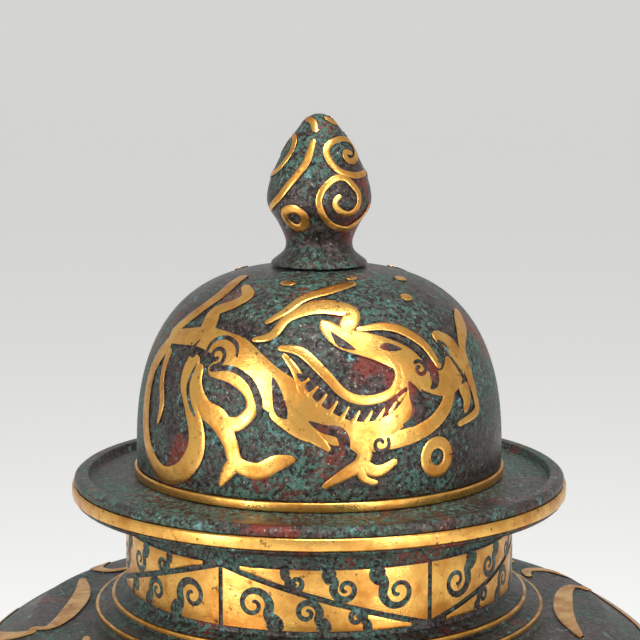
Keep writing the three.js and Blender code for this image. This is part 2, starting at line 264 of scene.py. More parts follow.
lid_patina = patina("lid_patina", green=0.75, red=0.7)
jar_patina = patina("jar_patina", green=0.6, red=0.4)
# A darker bronze for the chased lines and the washer, also laid round the gold as painted shade of the
# groove.
dark_bronze_and_groove_shade = patina("dark_bronze_and_painted_groove_shade", green=0.1, red=0.9)
print("bronzes:", lid_patina.name, jar_patina.name, dark_bronze_and_groove_shade.name)

# %% [markdown]
# The gold is thin sheet, hammered in and worn for centuries. One clean metal colour would look like new
# plating. So it drifts between a bright and a deep gold, takes small dark stains, and has a bump of soft
# hammer marks with finer scratches on them.

# %% Worn gold
GOLD_BRIGHT = (0.74, 0.41, 0.1)
GOLD_DEEP = (0.46, 0.19, 0.035)
GOLD_STAIN = (0.09, 0.045, 0.02)
POLISHED_ROUGHNESS, DULL_ROUGHNESS = 0.24, 0.42
SCRATCH_SHARE = 0.4


def worn_gold():
    """Beaten gold: a warm metal with broad colour drift, small stains, hammer marks and fine scratches."""
    material, tree, shader = new_material("worn_gold")
    coordinates = node(tree, "ShaderNodeTexCoord").outputs["Object"]
    deep = noise_mask(tree, coordinates, 150, 0.4, 0.64)
    stain = noise_mask(tree, coordinates, 620, 0.6, 0.7, offset=7)
    colour = layer(tree, GOLD_BRIGHT, GOLD_DEEP, deep)
    colour = layer(tree, colour, GOLD_STAIN, stain)
    tree.links.new(colour, shader.inputs["Base Color"])
    shader.inputs["Metallic"].default_value = 1
    roughness_from(tree, deep, shader, POLISHED_ROUGHNESS, DULL_ROUGHNESS)
    stretch = node(tree, "ShaderNodeMapping")
    stretch.inputs["Scale"].default_value = (1, 1, 6)
    scratches = node(tree, "ShaderNodeTexNoise", Scale=900, Detail=4)
    beaten = node(tree, "ShaderNodeTexNoise", Scale=330, Detail=3)
    total = node(tree, "ShaderNodeMath", operation="MULTIPLY_ADD")
    total.inputs[1].default_value = SCRATCH_SHARE
    tree.links.new(coordinates, stretch.inputs["Vector"])
    tree.links.new(stretch.outputs[0], scratches.inputs["Vector"])
    tree.links.new(coordinates, beaten.inputs["Vector"])
    tree.links.new(scratches.outputs["Fac"], total.inputs[0])
    tree.links.new(beaten.outputs["Fac"], total.inputs[2])
    relief(tree, total.outputs[0], shader, 0.4, 0.3 * MM)
    return material


gold = worn_gold()
print("gold:", gold.name)

# %% [markdown]
# Every casting here is round. A stack of cylinders would leave seams, so each is made as a potter makes a
# pot: one edge of profile, swept once round the axis. The profile starts as a plane merged to a single point,
# which is extruded from place to place, and Spin turns it. A small bevel then softens the sharp edges.

# %% Turning a profile
ROUND_STEPS = 128
BEVEL_FROM = math.radians(28)
SHARP_FROM = math.radians(40)
WELD = 1e-6


def smooth(points, count):
    """A curve through the points, as a list of count + 1 places."""
    places = []
    last = len(points) - 1
    for i in range(count + 1):
        at = last * i / count
        k = min(int(at), last - 1)
        t = at - k
        four = [points[max(k - 1, 0)], points[k], points[k + 1], points[min(k + 2, last)]]
        place = []
        for p0, p1, p2, p3 in zip(*four):
            slope_in = (p2 - p0) / 2
            slope_out = (p3 - p1) / 2
            bend = 2 * p1 - 2 * p2 + slope_in + slope_out
            lean = -3 * p1 + 3 * p2 - 2 * slope_in - slope_out
            place.append(bend * t ** 3 + lean * t ** 2 + slope_in * t + p1)
        places.append(tuple(place))
    return places


def apply_modifiers(piece):
    """Applies every modifier on a piece, from first to last."""
    bpy.context.view_layer.objects.active = piece
    for modifier in list(piece.modifiers):
        bpy.ops.object.modifier_apply(modifier=modifier.name)


def finish_piece(piece, body, replaces):
    """Tells the frame what a piece rides on and hides the nodes it stands for."""
    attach(piece, body)
    if replaces:
        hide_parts(*replaces)


def turned(name, profile, material, body, replaces, closed=True, edge=0.3):
    """Turns a profile in millimetres round the axis, softens its edges and hands the piece to the frame."""
    bpy.ops.object.select_all(action="DESELECT")
    bpy.ops.mesh.primitive_plane_add(size=MM)
    piece = bpy.context.object
    piece.name = name
    places = [Vector((r, 0, z)) * MM for r, z in profile]
    if closed:
        places.append(places[0])
    bpy.ops.object.mode_set(mode="EDIT")
    bpy.ops.mesh.select_all(action="SELECT")
    bpy.ops.mesh.merge(type="CENTER")
    bpy.ops.transform.translate(value=places[0])
    for here, there in zip(places, places[1:]):
        bpy.ops.mesh.extrude_region_move(TRANSFORM_OT_translate={"value": there - here})
    bpy.ops.mesh.select_all(action="SELECT")
    bpy.ops.mesh.spin(steps=ROUND_STEPS, angle=2 * math.pi, center=(0, 0, 0), axis=(0, 0, 1))
    bpy.ops.mesh.select_all(action="SELECT")
    bpy.ops.mesh.remove_doubles(threshold=WELD)
    bpy.ops.mesh.normals_make_consistent(inside=False)
    bpy.ops.object.mode_set(mode="OBJECT")
    soften = piece.modifiers.new("soften", "BEVEL")
    soften.width = edge * MM
    soften.segments = 2
    soften.limit_method = "ANGLE"
    soften.angle_limit = BEVEL_FROM
    apply_modifiers(piece)
    bpy.ops.object.shade_smooth_by_angle(angle=SHARP_FROM)
    piece.data.materials.clear()
    piece.data.materials.append(material)
    finish_piece(piece, body, replaces)
    print(name, "has", len(piece.data.polygons), "faces")
    return piece


# %% [markdown]
# The vessel is one hollow casting with a wall of about 4.5 mm. It could be a solid with a second one cut
# out of it, but one profile is cleaner: up the outside over foot, belly, shoulder, step rings and neck, and
# down the inside. The grooves for the gold bands are in the same profile.

# %% Jar body
NECK_TOP, NECK_R, MOUTH_R = 208, 46.9, 42.9
NECK_RING_Z, NECK_RING_STEP, NECK_RINGS = 189, 4, 5
SHOULDER_TOP, SHOULDER_R = 180, 55
BELLY_Z, BELLY_R, WALL = 130, 101.5, 4.5
FOOT_R, FOOT_H, FOOT_RECESS = 63, 10, 6
FOOT_RING_W, FOOT_RING_SLOPE, FOOT_BAND_H = 7, 2, 3
LOWER_STEP_R, LOWER_STEP_Z = 54.2, 182.4
UPPER_STEP_R, UPPER_STEP_Z = 50.2, 185.2
BAND_H, BAND_DEPTH, BAND_PROUD, GAP = 1.2, 0.8, 0.6, 0.1


def grooved(radius, bottom, top):
    """The profile of a groove for a gold band, from below it to above it."""
    floor_r = radius - BAND_DEPTH
    return [(radius, bottom - GAP), (floor_r, bottom - GAP), (floor_r, top + GAP), (radius, top + GAP)]


belly_below = smooth([
    (FOOT_R - 3.5, FOOT_H + 3),
    (FOOT_R + 5, FOOT_H + 24),
    (BELLY_R - 17, BELLY_Z - 55),
    (BELLY_R - 4, BELLY_Z - 24),
    (BELLY_R, BELLY_Z),
], 40)
belly_above = smooth([
    (BELLY_R, BELLY_Z),
    (BELLY_R - 3.5, BELLY_Z + 22),
    (BELLY_R - 17.5, SHOULDER_TOP - 10.3),
    (BELLY_R - 28.7, SHOULDER_TOP - 2.5),
    (SHOULDER_R + 13.3, SHOULDER_TOP - 0.6),
    (SHOULDER_R, SHOULDER_TOP),
], 50)
foot_band = (FOOT_H / 2 - FOOT_BAND_H / 2, FOOT_H / 2 + FOOT_BAND_H / 2)
lower_step_band = (LOWER_STEP_Z - BAND_H, LOWER_STEP_Z)
upper_step_band = (UPPER_STEP_Z - BAND_H, UPPER_STEP_Z)
outer = [(0, FOOT_RECESS), (FOOT_R - FOOT_RING_W - FOOT_RING_SLOPE, FOOT_RECESS)]
outer += [(FOOT_R - FOOT_RING_W, 0), (FOOT_R, 0)] + grooved(FOOT_R, *foot_band) + [(FOOT_R, FOOT_H)]
outer += belly_below + belly_above[1:]
outer += grooved(LOWER_STEP_R, *lower_step_band) + [(UPPER_STEP_R, LOWER_STEP_Z + 1)]
outer += grooved(UPPER_STEP_R, *upper_step_band) + [(NECK_R, UPPER_STEP_Z + 1.4)]
# The last ring is 3 mm below the mouth, so the neck's top edge is a chamfer under the brim.
outer += [(NECK_R, NECK_RING_Z + i * NECK_RING_STEP) for i in range(NECK_RINGS)]
# The inside follows the middle of each outer curve, and crosses the rest in straight lines.
inner_shoulder = [(r - WALL, z - WALL) for r, z in reversed(belly_above[14:32])]
inner_belly = [(r - WALL, z) for r, z in reversed(belly_below[7:37])]
inner = [(MOUTH_R, NECK_TOP), (MOUTH_R, UPPER_STEP_Z), (MOUTH_R + 6, SHOULDER_TOP - WALL - 1)]
inner += inner_shoulder + [(BELLY_R - WALL, BELLY_Z)] + inner_belly
inner += [(FOOT_R - 12, FOOT_RECESS + WALL + 2), (0, FOOT_RECESS + WALL)]
turned("jar_casting", outer + inner, jar_patina, "jar", ["jar_body"], closed=False)

# %% [markdown]
# Flat gold rings are let into the foot and the two steps. A painted stripe would have no edge for the light
# to catch, so each ring is turned as a piece of its own, and stands a little proud of its groove.

# %% Gold bands of the jar
BAND_EASE = 0.12


def band(name, radius, bottom, top, body, node_name):
    """A flat gold ring with eased corners in its groove."""
    low_r = radius - BAND_DEPTH + GAP
    high_r = radius + BAND_PROUD
    ease = (top - bottom) * BAND_EASE
    profile = [(low_r, bottom), (high_r - ease, bottom), (high_r, bottom + ease), (high_r, top - ease),
               (high_r - ease, top), (low_r, top)]
    return turned(name, profile, gold, body, [node_name], edge=0.15)


band("foot_gold", FOOT_R, *foot_band, "jar", "foot_band")
band("lower_step_gold", LOWER_STEP_R, *lower_step_band, "jar", "lower_step_band")
band("upper_step_gold", UPPER_STEP_R, *upper_step_band, "jar", "upper_step_band")
print("bands are", BAND_PROUD, "mm proud")

# %% [markdown]
# The lid is a second casting: a flange that sits in the mouth, a broad brim with a raised lip, and a full
# dome. Half a sphere would fall away too soon at the sides. So the dome follows the corner of a rounded
# square, which is steep at the side and flat at the crown.

# %% Lid
FLANGE_DEPTH, FLANGE_WALL, FLANGE_CLEARANCE = 12, 2.6, 0.6
FLANGE_R = MOUTH_R - FLANGE_CLEARANCE
BRIM_UNDER, LIP_TOP, BRIM_R, LIP_W = 208.3, 215, 59.4, 3.3
BRIM_FLOOR, DOME_FOOT = 213.1, 217.1
DOME_R, DOME_SPRING, DOME_H, DOME_WALL, CROWN_R = 44.3, 220.6, 44.05, 3.4, 11.9
CROWN_Z = DOME_SPRING + DOME_H
DOME_SIDE_POWER, DOME_CROWN_POWER = 3.08, 2.36
BORE_R, INNER_CROWN_R = 4.3, 9


def dome_arc(radius, height, end_radius, count):
    """The dome's curve from its spring line to a flat of the given radius at the crown."""
    last = math.acos((end_radius / radius) ** (DOME_SIDE_POWER / 2))
    arc = []
    for i in range(count + 1):
        angle = last * i / count
        arc.append((radius * math.cos(angle) ** (2 / DOME_SIDE_POWER),
                    DOME_SPRING + height * math.sin(angle) ** (2 / DOME_CROWN_POWER)))
    return arc


dome_outer = dome_arc(DOME_R, DOME_H, CROWN_R, 60)
dome_inner = dome_arc(DOME_R - DOME_WALL, DOME_H - DOME_WALL, INNER_CROWN_R, 30)
brim_band = (LIP_TOP - 5.4, LIP_TOP - 2.4)
dome_band = (DOME_FOOT - 2.6, DOME_FOOT - 0.3)
groove_foot = dome_band[0] - GAP
groove_r = DOME_R - BAND_DEPTH
lid_profile = [(FLANGE_R - FLANGE_WALL, BRIM_UNDER - FLANGE_DEPTH), (FLANGE_R, BRIM_UNDER - FLANGE_DEPTH)]
lid_profile += [(FLANGE_R, BRIM_UNDER), (BRIM_R - 0.8, BRIM_UNDER), (BRIM_R, BRIM_UNDER + 0.7)]
lid_profile += grooved(BRIM_R, *brim_band)
lid_profile += [(BRIM_R, LIP_TOP - 0.9), (BRIM_R - 1.1, LIP_TOP), (BRIM_R - LIP_W, LIP_TOP)]
lid_profile += [(BRIM_R - LIP_W - 0.6, BRIM_FLOOR), (DOME_R + 1.5, groove_foot)]
lid_profile += [(groove_r, groove_foot), (groove_r, DOME_FOOT), (DOME_R, DOME_FOOT)] + dome_outer
lid_profile += [(BORE_R, CROWN_Z), (BORE_R, CROWN_Z - DOME_WALL)] + dome_inner[::-1]
turned("lid_casting", lid_profile, lid_patina, "lid", ["lid"])
band("brim_gold", BRIM_R, *brim_band, "lid", "brim_edge_band")
band("dome_gold", DOME_R, *dome_band, "lid", "dome_base_band")

# %% [markdown]
# The knob is a closed bud on a flared foot. Its tenon goes down through the crown and is spread over a washer
# inside, which is how such a finial is held. Bud, foot and tenon are one profile, turned like the castings.
# The washer keeps its solid node and only takes the dark bronze.

# %% Knob and washer
KNOB_R, KNOB_H, KNOB_NECK_R = 12.5, 36, 8
SEAT_GAP, WASHER_T = 0.3, 1.3
PEEN_R, PEEN_H, TENON_R = 6, 2, 4
KNOB_FOOT = CROWN_Z + SEAT_GAP
PEEN_TOP = CROWN_Z - DOME_WALL - SEAT_GAP - WASHER_T - SEAT_GAP
knob_outer = [(CROWN_R - 0.2, KNOB_FOOT), (CROWN_R - 0.5, KNOB_FOOT + 0.8)] + smooth([
    (CROWN_R - 0.9, KNOB_FOOT + 1.2),
    (KNOB_NECK_R + 0.6, KNOB_FOOT + 3.2),
    (KNOB_NECK_R, KNOB_FOOT + 5),
    (KNOB_NECK_R + 0.4, KNOB_FOOT + 7),
    (KNOB_R - 2.4, KNOB_FOOT + 10.5),
    (KNOB_R - 0.5, KNOB_FOOT + 13.5),
    (KNOB_R, KNOB_FOOT + 16.5),
    (KNOB_R - 1.2, KNOB_FOOT + 21.5),
    (KNOB_R - 4.4, KNOB_FOOT + 28),
    (KNOB_R - 8.6, KNOB_FOOT + KNOB_H - 2),
    (1.6, KNOB_FOOT + KNOB_H - 0.3),
    (0, KNOB_FOOT + KNOB_H),
], 60)
tenon = [(0, PEEN_TOP - PEEN_H), (PEEN_R, PEEN_TOP - PEEN_H), (PEEN_R, PEEN_TOP), (TENON_R, PEEN_TOP)]
tenon += [(TENON_R, KNOB_FOOT)]
turned("knob_casting", tenon + knob_outer, lid_patina, "lid", ["lid_knob"], closed=False)
for washer_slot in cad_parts["knob_washer"].material_slots:
    washer_slot.material = dark_bronze_and_groove_shade

# %% [markdown]
# The inlay is thin gold beaten into beds cut in the bronze. It could be a painted mask, but real edges catch
# the light as the jar turns. So each piece is a grid laid on the surface of the casting, a little proud in
# the middle, with a strip of dark bronze on either side as painted shade of the groove, and given a
# thickness.

# %% Laying gold on a turned surface
# The dark strip round each piece of gold is painted shade of the groove at its edge; this is its width.
GROOVE_SHADE_W = 0.3
EDGE_LIFT = 0.03
GOLD_LIFT = 0.1
SHEET_T = 0.22
CREASE_FROM = math.radians(50)
# Each column is a share of the half width, a share of the painted groove shade beyond it, and a share of the
# lift.
COLUMNS = ((-1, -1, 0), (-1, 0, 0), (-0.93, 0, 0.85), (-0.5, 0, 0.97), (0, 0, 1),
           (0.5, 0, 0.97), (0.93, 0, 0.85), (1, 0, 0), (1, 1, 0))


def surface_of(profile):
    """A function from a length along a profile to the radius, height and outward normal there."""
    lengths = [0]
    for (r0, z0), (r1, z1) in zip(profile, profile[1:]):
        lengths.append(lengths[-1] + math.hypot(r1 - r0, z1 - z0))

    def at(along):
        i = 1
        while i < len(profile) - 1 and lengths[i] < along:
            i += 1
        (r0, z0), (r1, z1) = profile[i - 1], profile[i]
        step = lengths[i] - lengths[i - 1]
        t = (along - lengths[i - 1]) / step
        return r0 + (r1 - r0) * t, z0 + (z1 - z0) * t, (z1 - z0) / step, (r0 - r1) / step

    return at


def place_on(surface, degrees, along, lift):
    """The place in metres at an angle from the front and a length along the profile."""
    r, z, nr, nz = surface(along)
    r += nr * lift
    angle = math.radians(degrees)
    return Vector((r * math.sin(angle), -r * math.cos(angle), z + nz * lift)) * MM


def inlay(name, surface, rows, metal, body, replaces=(), lift=GOLD_LIFT, shade_strip=GROOVE_SHADE_W):
    """rows: (middle, across, half width) in degrees and millimetres. The grid's outer columns are a strip of
    dark bronze, painted shade of the groove.
    """
    bpy.ops.object.select_all(action="DESELECT")
    bpy.ops.mesh.primitive_grid_add(x_subdivisions=len(rows) - 1, y_subdivisions=len(COLUMNS) - 1, size=1)
    piece = bpy.context.object
    piece.name = name
    for vertex in piece.data.vertices:
        row = round((vertex.co.x + 0.5) * (len(rows) - 1))
        column = round((vertex.co.y + 0.5) * (len(COLUMNS) - 1))
        (degrees, along), (across_deg, across_mm), half = rows[row]
        share, beyond, height = COLUMNS[column]
        offset = share * half + beyond * shade_strip
        vertex.co = place_on(surface, degrees + across_deg * offset, along + across_mm * offset,
                             EDGE_LIFT + (lift - EDGE_LIFT) * height)
    piece.data.materials.append(metal)
    # The outer columns take the darker bronze as painted shade of the groove round the gold.
    piece.data.materials.append(dark_bronze_and_groove_shade)
    for face in piece.data.polygons:
        column = face.index // (len(rows) - 1)
        face.material_index = 1 if column in (0, len(COLUMNS) - 2) else 0
    wall = piece.modifiers.new("wall", "SOLIDIFY")
    wall.thickness = SHEET_T * MM
    wall.offset = -1
    apply_modifiers(piece)
    bpy.ops.object.shade_smooth_by_angle(angle=CREASE_FROM)
    finish_piece(piece, body, replaces)
    return piece


print("gold stands", GOLD_LIFT, "mm above the bronze")

# %% [markdown]
# Most of the inlay reads as brush strokes that swell and taper. A curve object with a bevel would not hug the
# dome, so a stroke here is a list of points in degrees round the jar and millimetres along its profile, with
# a width at each. It is smoothed, turned into the rows of a grid, and its ends are rounded.

# %% Brush strokes
END_SHARE = 0.12
DARK_LIFT = GOLD_LIFT + 0.04
# Round a dark stroke the strip of painted groove shade is only this wide.
DARK_STROKE_SHADE_W = 0.02


def stroke_rows(surface, points, turned_by=0.0, per_point=8, round_ends=True):
    """Rows of a brush-like stroke whose points are (degrees, length along, width)."""
    places = smooth(points, (len(points) - 1) * per_point)
    travelled = [0]
    for before, after in zip(places, places[1:]):
        per_degree = math.radians(surface(before[1])[0])
        step = math.hypot((after[0] - before[0]) * per_degree, after[1] - before[1])
        travelled.append(travelled[-1] + step)
    rows = []
    for i, (degrees, along, width) in enumerate(places):
        before = places[max(i - 1, 0)]
        after = places[min(i + 1, len(places) - 1)]
        per_degree = math.radians(surface(along)[0])
        dx = (after[0] - before[0]) * per_degree
        dy = after[1] - before[1]
        size = math.hypot(dx, dy)
        half = width / 2
        from_end = min(travelled[i], travelled[-1] - travelled[i])
        if round_ends and from_end < half:
            half *= max(math.sqrt(1 - (1 - from_end / half) ** 2), END_SHARE)
        rows.append(((degrees + turned_by, along), (dy / size / per_degree, -dx / size), half))
    return rows


def gold_stroke(name, surface, points, turned_by, body, replaces=(), per_point=8, round_ends=True,
                lift=GOLD_LIFT):
    """A stroke of gold."""
    rows = stroke_rows(surface, points, turned_by, per_point, round_ends)
    return inlay(name, surface, rows, gold, body, replaces, lift)


def dark_stroke(name, surface, points, turned_by, body, metal, per_point=4):
    """A stroke of bronze over the gold, which reads as a line or gap left open in it."""
    rows = stroke_rows(surface, points, turned_by, per_point)
    return inlay(name, surface, rows, metal, body, lift=DARK_LIFT, shade_strip=DARK_STROKE_SHADE_W)


dome_surface = surface_of([(DOME_R, DOME_FOOT)] + dome_outer)
print("dark lines stand", round(DARK_LIFT, 2), "mm above the bronze")

# %% [markdown]
# A dragon runs to the right across the dome, and a guessed second one behind. Its gold looks like pierced
# sheet. One outline with holes would be hard to edit, so it is drawn stroke by stroke, each with its own
# swelling width. Where strokes meet they overlap and read as one sheet.

# %% Dragon strokes
SIDES = (("front", 0), ("back", 180))
DRAGON = {
    "tail": [(-63, 33, 4.4), (-69, 25.5, 4), (-68, 15, 4), (-64, 7, 3.8), (-55, 2.4, 3.6), (-46, 3.4, 4.4),
             (-40, 8, 5), (-39, 13, 4.6), (-42, 19, 4.2), (-46, 25, 4.4), (-45, 31, 4.6)],
    "feather": [(-66, 34, 3), (-57, 42.4, 3), (-54, 49, 3.4), (-62, 57, 2.6)],
    "branch": [(-44, 34, 5), (-46, 39.5, 4.4), (-47, 42.5, 3.4), (-40, 45.5, 3), (-37, 49, 3),
               (-46, 52.5, 1.6)],
    "haunch": [(-66, 33.6, 3.4), (-56, 34.6, 4), (-46, 35.4, 5), (-37, 34.6, 6), (-28, 32.6, 7),
               (-20, 28.6, 7)],
    "torso": [(-38, 32, 5.5), (-27, 31, 8), (-16, 25.6, 9), (-4, 20.5, 9), (6, 17, 8), (16, 16.4, 7),
              (24, 19, 6), (29, 24.5, 6), (30, 30, 5)],
    "hind_leg": [(-42, 29, 2.6), (-41.5, 24, 3.2), (-37, 19.4, 4), (-31, 17, 5), (-27, 12.5, 3.6),
                 (-24.5, 7.8, 3.4), (-18, 6.4, 3.6), (-12, 8.6, 3.4), (-7, 9.6, 1.2)],
    "foreleg": [(8, 15, 4.4), (13, 11.5, 3.4), (12, 8.4, 3), (8, 6.4, 2.6), (1, 3.2, 1)],
    "chest": [(45, 24, 3.4), (42, 19.5, 3.2), (35, 15.6, 3.2), (26, 13.6, 3.6), (14, 12.5, 3.6)],
    "neck": [(1, 41.5, 2.6), (8, 37, 5), (19, 34.6, 6), (29, 31, 6.4), (36, 26, 5.6), (44, 24.6, 6),
             (50, 28, 6.6), (50.5, 32.6, 5.6), (45, 36.4, 2.4)],
    "horn": [(73, 40.5, 1.6), (66, 37, 4), (58, 32, 2.4), (56, 26, 2.8), (57, 20, 1.8), (56, 16.4, 1.8),
             (46, 14.6, 1)],
    "upper_wing": [(-21, 40.5, 0.9), (-14, 44.3, 1.8), (-7, 49, 2.2), (6, 52.3, 3), (23, 55.8, 2.4)],
    "lower_wing": [(-24, 36, 0.9), (-17, 37.5, 2), (-12, 42.5, 2.2), (0, 46, 4.4), (13, 44, 4),
                   (9, 38.6, 3.4)],
    "side_band": [(-14, 34.4, 1), (-6, 33.6, 2), (2, 28.4, 2), (8, 23.8, 1.9), (15, 22.4, 1.9),
                  (23, 24, 1.8), (26, 28.5, 1.8), (22, 33, 1)],
    "hip_loop": [(-38, 28.4, 3.4), (-28, 27.4, 3.8), (-21.5, 24, 3.2), (-20.5, 20, 2.8), (-25, 16.6, 3),
                 (-31, 17, 3)],
    "mane": [(14, 39, 1), (24, 39.6, 1.8), (32, 38, 2.2), (39, 33.8, 2), (42.5, 28, 1.4)],
    "jaw": [(51, 24, 4.4), (52, 20, 3), (50, 17, 0.9)],
    "inner_rib": [(-12, 33, 0.8), (-7, 28.6, 1.8), (-5, 23.5, 2)],
    "outer_tail_line": [(-61, 31, 2.4), (-60, 24, 1.6), (-57, 18.5, 1.8), (-58, 13.5, 0.6)],
    "hind_claw": [(-24, 9, 3.4), (-27.5, 5.6, 3), (-30, 2.2, 1)],
    "fore_claw_right": [(12, 8.6, 2.4), (17, 6.4, 2.6), (23, 8.6, 1.2)],
    "fore_claw_low": [(12, 8, 2.2), (13, 5, 1.8), (17, 3.8, 0.7)],
    "belly_tip": [(-14, 22, 6), (-6, 17, 5), (-1, 14.4, 3), (3, 11.6, 0.8)],
    "fore_hook": [(9, 15, 3), (5, 13.6, 2), (1, 14.6, 0.8)],
}
for side, turned_by in SIDES:
    for piece_name, points in DRAGON.items():
        node_name = f"{side}_dragon_{piece_name}"
        stands_for = [node_name] if node_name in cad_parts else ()
        gold_stroke(f"{side}_gold_{piece_name}", dome_surface, points, turned_by, "lid", stands_for)
print("dragon strokes on each side:", len(DRAGON))

# %% [markdown]
# A dark crescent parts the dragon's back from the band over it, and a comb of gold teeth leans into it. A
# small dark bay opens between belly and foreleg. Holes could be cut in the gold, but a dark stroke over it
# looks much the same and can be moved freely. Gold dots are scattered near the crown.

# %% Back teeth and dots
CREST = [(-7, 28.6, 0.8), (-3, 26, 2.2), (1, 23.2, 3), (6, 20.8, 3.2), (11, 19.4, 3.2), (17, 19.4, 3),
         (23, 21.4, 2.6), (28, 24.6, 1)]
BAY = [(-3, 18, 0.5), (1, 16.4, 1.8), (6, 15.4, 2.6), (7.4, 12.4, 2.4), (6, 10, 0.8)]
BACK_TEETH = 10
TOOTH_LIFT = DARK_LIFT + 0.03
# Each point of a tooth is degrees ahead, a share of the crescent's width above its middle, and a width.
TOOTH = ((1.6, 0.2, 0.5), (0.2, -0.3, 0.9), (-1.2, -0.75, 1.2))
# Each dot is degrees, length along the dome and size.
DOTS = [(-20, 55.5, 3.4), (45, 47.5, 3), (24, 58.5, 2.6), (62, 55, 3.2)]
DOT_FLATNESS = 0.8
for side, turned_by in SIDES:
    for gap, points in (("crest", CREST), ("bay", BAY)):
        dark_stroke(f"{side}_chased_{gap}", dome_surface, points, turned_by, "lid", dark_bronze_and_groove_shade, 5)
    for i in range(BACK_TEETH):
        place = (i + 0.9) / (BACK_TEETH + 0.6) * (len(CREST) - 1)
        before = CREST[int(place)]
        after = CREST[int(place) + 1]
        degrees, along, width = (a + (b - a) * (place % 1) for a, b in zip(before, after))
        points = [(degrees + ahead, along + width * up, thick) for ahead, up, thick in TOOTH]
        gold_stroke(f"{side}_gold_tooth_{i + 1}", dome_surface, points, turned_by, "lid", per_point=5,
                    lift=TOOTH_LIFT)
    for i, (degrees, along, width) in enumerate(DOTS):
        half_deg = width / 2 / math.radians(dome_surface(along)[0])
        points = [(degrees + end * half_deg, along, width * DOT_FLATNESS) for end in (-1, 1)]
        gold_stroke(f"{side}_gold_dot_{i + 1}", dome_surface, points, turned_by, "lid", per_point=10)
print("teeth and dots on each side:", BACK_TEETH, len(DOTS))

# %% [markdown]
# Spirals recur on the dragon's hip, shoulder, cheek and eye, and a ring like a pearl lies below its head.
# Each could be drawn point by point. One function winds them all instead, from the middle outwards, and
# with no growth it gives a plain ring. The other dark lines part haunch, chest, throat and neck.

# %% Spirals, ring and chased lines
def spiral_points(surface, centre, inner_r, outer_r, turns, start_deg, width, tail=()):
    """Points of a spiral on a surface, then any further points given as its tail."""
    degrees, along = centre
    per_degree = math.radians(surface(along)[0])
    count = max(round(abs(turns) * 10), 4)
    points = []
    for i in range(count + 1):
        share = i / count
        radius = inner_r + (outer_r - inner_r) * share
        angle = math.radians(start_deg + share * turns * 360)
        aside = radius * math.cos(angle) / per_degree
        points.append((degrees + aside, along + radius * math.sin(angle), width))
    return points + list(tail)


HIP_TAIL = [(-36.5, 28.2, 1.3), (-29, 28.8, 1.4), (-22, 26.4, 1.6), (-18.4, 22, 1.8), (-18, 18.4, 0.8)]
EYE_TAIL = [(51, 27, 1), (52.4, 24.4, 0.9), (50.6, 23.6, 0.6)]
CHASED = {
    "hip_spiral": spiral_points(dome_surface, (-36, 31.4), 0.5, 2.6, -1.2, 340, 1, HIP_TAIL),
    "hip_arch": [(-41, 30.4, 0.6), (-40, 34.4, 1), (-35, 36, 1), (-29.5, 34.6, 1), (-28, 31.4, 0.5)],
    "thigh_line": [(-43.5, 29, 0.4), (-45, 24, 1), (-43, 20, 1), (-40, 17, 0.8)],
    "flank_gap": [(-14.6, 27.6, 0.4), (-13, 24.4, 2), (-11.4, 20.4, 3), (-9.6, 18.4, 0.8)],
    "chest_gap": [(29, 26, 0.6), (30.6, 22.6, 3.4), (31.4, 19.6, 4), (28.6, 16.8, 2.2), (25.4, 16.4, 0.5)],
    "throat_gap": [(36, 30, 0.6), (39, 27, 2.6), (38.6, 24.6, 2), (36.6, 23.8, 0.6)],
    "shoulder_gap": [(21, 34.4, 0.6), (24, 34.2, 2), (29, 33.4, 0.5)],
    "neck_gap": [(4.4, 38.6, 0.5), (7.6, 35.8, 2), (12.4, 34, 0.5)],
    "tail_gap": [(-46, 34.6, 0.4), (-48, 32, 1), (-46.6, 30.4, 0.8), (-44.6, 31.6, 0.4)],
    "shoulder_spiral": spiral_points(dome_surface, (18, 12.6), 0.5, 2.2, 1.1, 0, 0.9),
    "eye_spiral": spiral_points(dome_surface, (46.4, 32), 0.4, 1.9, 1.2, 30, 0.8, EYE_TAIL),
    "cheek_spiral": spiral_points(dome_surface, (34, 28.4), 0.4, 2, 1.2, 60, 0.9),
    "neck_line": [(22, 37.4, 0.6), (30, 36.2, 1), (37, 31.6, 1.3), (41, 26.4, 1)],
}
PEARL_RING = spiral_points(dome_surface, (37, 8.2), 3.3, 3.3, 1, 0, 2.6)
for side, turned_by in SIDES:
    gold_stroke(f"{side}_gold_pearl_ring", dome_surface, PEARL_RING, turned_by, "lid",
                [f"{side}_pearl_ring"], per_point=4, round_ends=False)
    for line, points in CHASED.items():
        dark_stroke(f"{side}_chased_{line}", dome_surface, points, turned_by, "lid", dark_bronze_and_groove_shade)
print("chased lines on each side:", len(CHASED))

# %% [markdown]
# The band round the neck is six panels. A slanting dark channel divides each into two long triangles of gold,
# and three dark scrolls, each smaller than the last, run to the thin end. All twelve triangles are one shape,
# mirrored and turned over, so loops make them, and a change to one changes them all.

# %% Volutes round the neck
VOLUTE_H, VOLUTE_TOP = 14, 202
PANELS, FIRST_PANEL_DEG = 6, -28
CHANNEL, DIVIDER, TIP_H = 1.5, 1.1, 0.5
PANEL_DEG = 360 / PANELS
DIVIDER_DEG = math.degrees(DIVIDER / 2 / NECK_R)
TRIANGLE_ROWS = 40
# Each scroll is a share of the way to the tip, a height above the long side, a radius and a mouth's width.
SCROLLS = ((0.155, 5.6, 4.1, 4), (0.41, 4.3, 3, 3.2), (0.64, 2.9, 2, 2))
SCROLL_POINTS = 14
EYE_ANGLE, WINDING, EYE_SHARE, EYE_WIDTH = 470, 500, 0.12, 0.9
neck_surface = surface_of([(NECK_R, VOLUTE_TOP - VOLUTE_H), (NECK_R, VOLUTE_TOP)])


def across_panel(start, from_left, share):
    """Degrees at a share of the way from a triangle's broad side to its tip."""
    run = DIVIDER_DEG + share * (PANEL_DEG - 2 * DIVIDER_DEG)
    return start + (run if from_left else PANEL_DEG - run)


